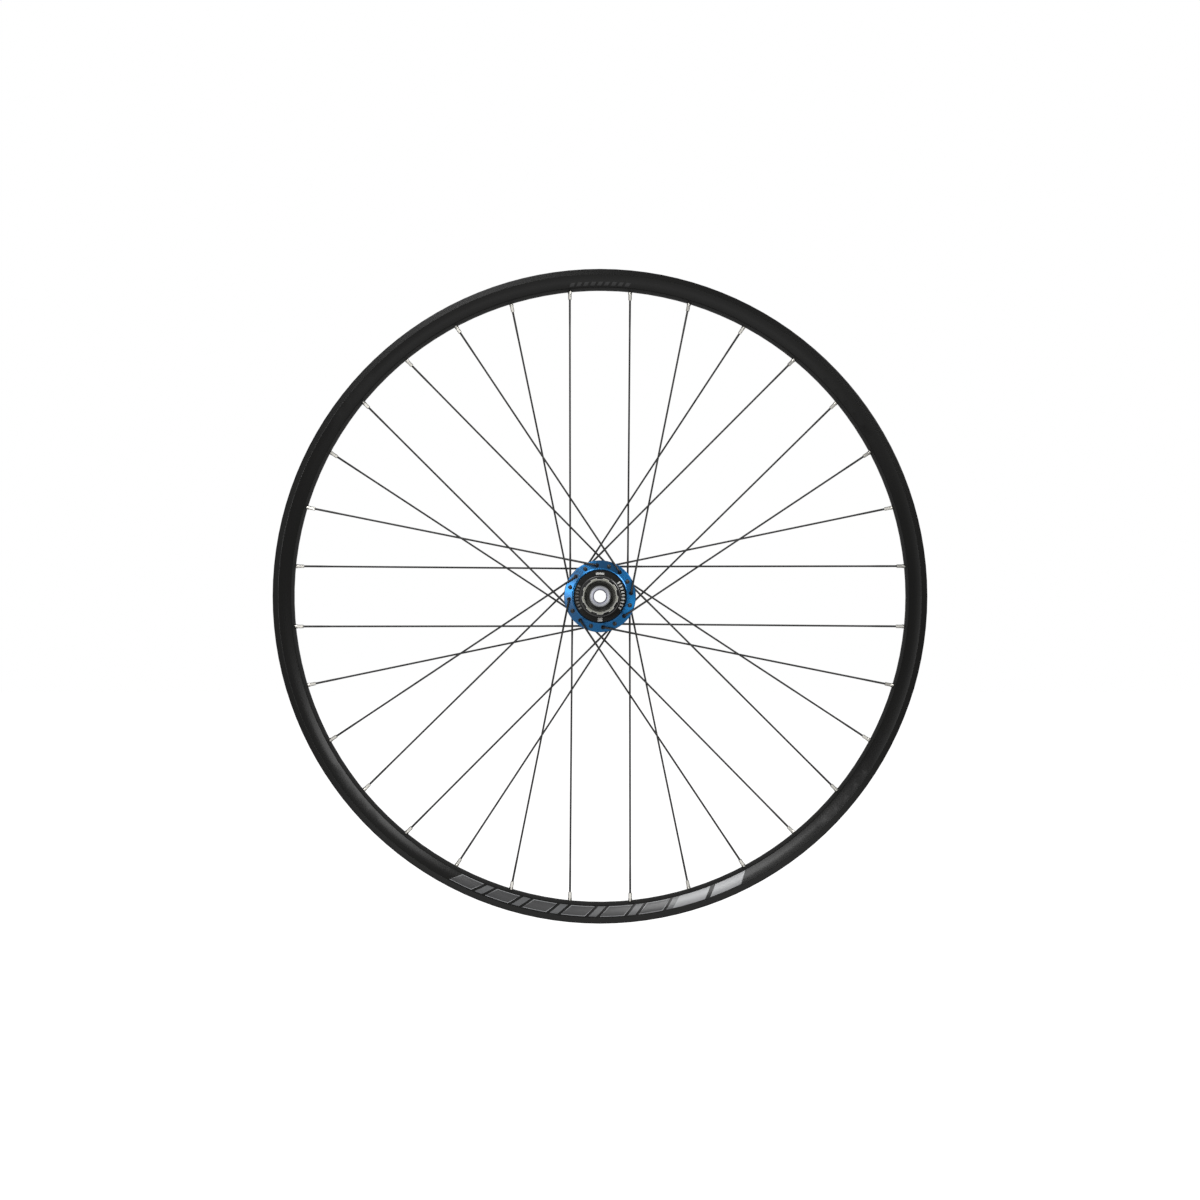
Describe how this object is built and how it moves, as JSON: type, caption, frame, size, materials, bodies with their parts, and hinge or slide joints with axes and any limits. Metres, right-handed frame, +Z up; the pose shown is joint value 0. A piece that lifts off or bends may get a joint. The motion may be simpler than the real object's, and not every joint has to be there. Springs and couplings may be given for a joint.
{
  "type": "bicycle rear wheel",
  "caption": "Rear bicycle wheel for a disc brake: hollow black rim, crossed black spokes with silver nipples, blue hub shell and a splined ratchet freehub on a through axle",
  "frame": {"origin": "the wheel centre, where the axle line meets the middle plane of the rim, which is also the centre of the bounding box", "axes": "+Y along the axle towards the brake side, +X forward, +Z up through the valve hole; the drive side with the freehub faces -Y"},
  "size_m": [0.634, 0.148, 0.634],
  "materials": {
    "rim_black": "satin",
    "spoke_black": "satin",
    "nipple_silver": "gloss",
    "hub_blue": "satin",
    "freehub_black": "satin",
    "seal_ring_black": "satin",
    "bare_aluminium": "satin",
    "bearing_steel": "gloss",
    "tool_steel": "satin",
    "seal_rubber": "matte"
  },
  "bodies": {
    "axle": {"axle": "bare_aluminium", "drive_end_cap": "bare_aluminium", "brake_end_cap": "bare_aluminium", "drive_cap_ring": "seal_rubber", "brake_cap_ring": "seal_rubber", "freehub_spacer": "bare_aluminium", "hub_spacer": "bare_aluminium", "hub_drive_bearing_inner_race": "bearing_steel", "hub_brake_bearing_inner_race": "bearing_steel", "freehub_inner_bearing_inner_race": "bearing_steel", "freehub_outer_bearing_inner_race": "bearing_steel"},
    "wheel": {"rim": "rim_black", "nipples_drive": "nipple_silver", "nipples_brake": "nipple_silver", "spokes_drive_outer": "spoke_black", "spokes_drive_inner": "spoke_black", "spokes_brake_outer": "spoke_black", "spokes_brake_inner": "spoke_black", "hub_shell": "hub_blue", "ratchet_ring": "tool_steel", "brake_dust_seal": "seal_rubber", "hub_drive_bearing_outer_race": "bearing_steel", "hub_drive_bearing_seals": "seal_rubber", "hub_brake_bearing_outer_race": "bearing_steel", "hub_brake_bearing_seals": "seal_rubber"},
    "freehub": {"freehub_body": "freehub_black", "freehub_seal": "seal_ring_black", "drive_dust_seal": "seal_rubber", "pawl_springs": "tool_steel", "freehub_inner_bearing_outer_race": "bearing_steel", "freehub_inner_bearing_seals": "seal_rubber", "freehub_outer_bearing_outer_race": "bearing_steel", "freehub_outer_bearing_seals": "seal_rubber"},
    "hub_drive_cage": {"hub_drive_bearing_balls": "bearing_steel"},
    "hub_brake_cage": {"hub_brake_bearing_balls": "bearing_steel"},
    "freehub_inner_cage": {"freehub_inner_bearing_balls": "bearing_steel"},
    "freehub_outer_cage": {"freehub_outer_bearing_balls": "bearing_steel"},
    "pawl_1": {"pawl_1": "tool_steel"},
    "pawl_2": {"pawl_2": "tool_steel"},
    "pawl_3": {"pawl_3": "tool_steel"},
    "pawl_4": {"pawl_4": "tool_steel"},
    "pawl_5": {"pawl_5": "tool_steel"},
    "pawl_6": {"pawl_6": "tool_steel"}
  },
  "joints": [
    {"name": "wheel_spin", "type": "hinge", "parent": "axle", "child": "wheel", "pos_m": [0, 0, 0], "axis": [0, 1, 0], "continuous": true},
    {"name": "freehub_coast", "type": "hinge", "parent": "wheel", "child": "freehub", "pos_m": [0, -0.045, 0], "axis": [0, 1, 0], "continuous": true},
    {"name": "hub_drive_cage_roll", "type": "hinge", "parent": "axle", "child": "hub_drive_cage", "pos_m": [0, 0, 0], "axis": [0, 1, 0], "continuous": true},
    {"name": "hub_brake_cage_roll", "type": "hinge", "parent": "axle", "child": "hub_brake_cage", "pos_m": [0, 0, 0], "axis": [0, 1, 0], "continuous": true},
    {"name": "freehub_inner_cage_roll", "type": "hinge", "parent": "axle", "child": "freehub_inner_cage", "pos_m": [0, 0, 0], "axis": [0, 1, 0], "continuous": true},
    {"name": "freehub_outer_cage_roll", "type": "hinge", "parent": "axle", "child": "freehub_outer_cage", "pos_m": [0, 0, 0], "axis": [0, 1, 0], "continuous": true},
    {"name": "pawl_1_pivot", "type": "hinge", "parent": "freehub", "child": "pawl_1", "pos_m": [0.0162, -0.0173, 0.00935], "axis": [0, 1, 0], "range_deg": [0, 8.5], "stiffness_Nm_per_rad": 0.02, "springref_deg": -17.19, "deforming": ["pawl_springs"]},
    {"name": "pawl_2_pivot", "type": "hinge", "parent": "freehub", "child": "pawl_2", "pos_m": [0, -0.0173, 0.0187], "axis": [0, 1, 0], "range_deg": [0, 8.5], "stiffness_Nm_per_rad": 0.02, "springref_deg": -17.19, "deforming": ["pawl_springs"]},
    {"name": "pawl_3_pivot", "type": "hinge", "parent": "freehub", "child": "pawl_3", "pos_m": [-0.0162, -0.0173, 0.00935], "axis": [0, 1, 0], "range_deg": [0, 8.5], "stiffness_Nm_per_rad": 0.02, "springref_deg": -17.19, "deforming": ["pawl_springs"]},
    {"name": "pawl_4_pivot", "type": "hinge", "parent": "freehub", "child": "pawl_4", "pos_m": [-0.0162, -0.0173, -0.00935], "axis": [0, 1, 0], "range_deg": [0, 8.5], "stiffness_Nm_per_rad": 0.02, "springref_deg": -17.19, "deforming": ["pawl_springs"]},
    {"name": "pawl_5_pivot", "type": "hinge", "parent": "freehub", "child": "pawl_5", "pos_m": [0, -0.0173, -0.0187], "axis": [0, 1, 0], "range_deg": [0, 8.5], "stiffness_Nm_per_rad": 0.02, "springref_deg": -17.19, "deforming": ["pawl_springs"]},
    {"name": "pawl_6_pivot", "type": "hinge", "parent": "freehub", "child": "pawl_6", "pos_m": [0.0162, -0.0173, -0.00935], "axis": [0, 1, 0], "range_deg": [0, 8.5], "stiffness_Nm_per_rad": 0.02, "springref_deg": -17.19, "deforming": ["pawl_springs"]}
  ],
  "couplings": [
    {"joint": "hub_drive_cage_roll", "follows": "wheel_spin", "ratio": 0.5851},
    {"joint": "hub_brake_cage_roll", "follows": "wheel_spin", "ratio": 0.5851},
    {"joint": "freehub_inner_cage_roll", "follows": "wheel_spin", "ratio": 0.5851},
    {"joint": "freehub_outer_cage_roll", "follows": "wheel_spin", "ratio": 0.5605}
  ]
}
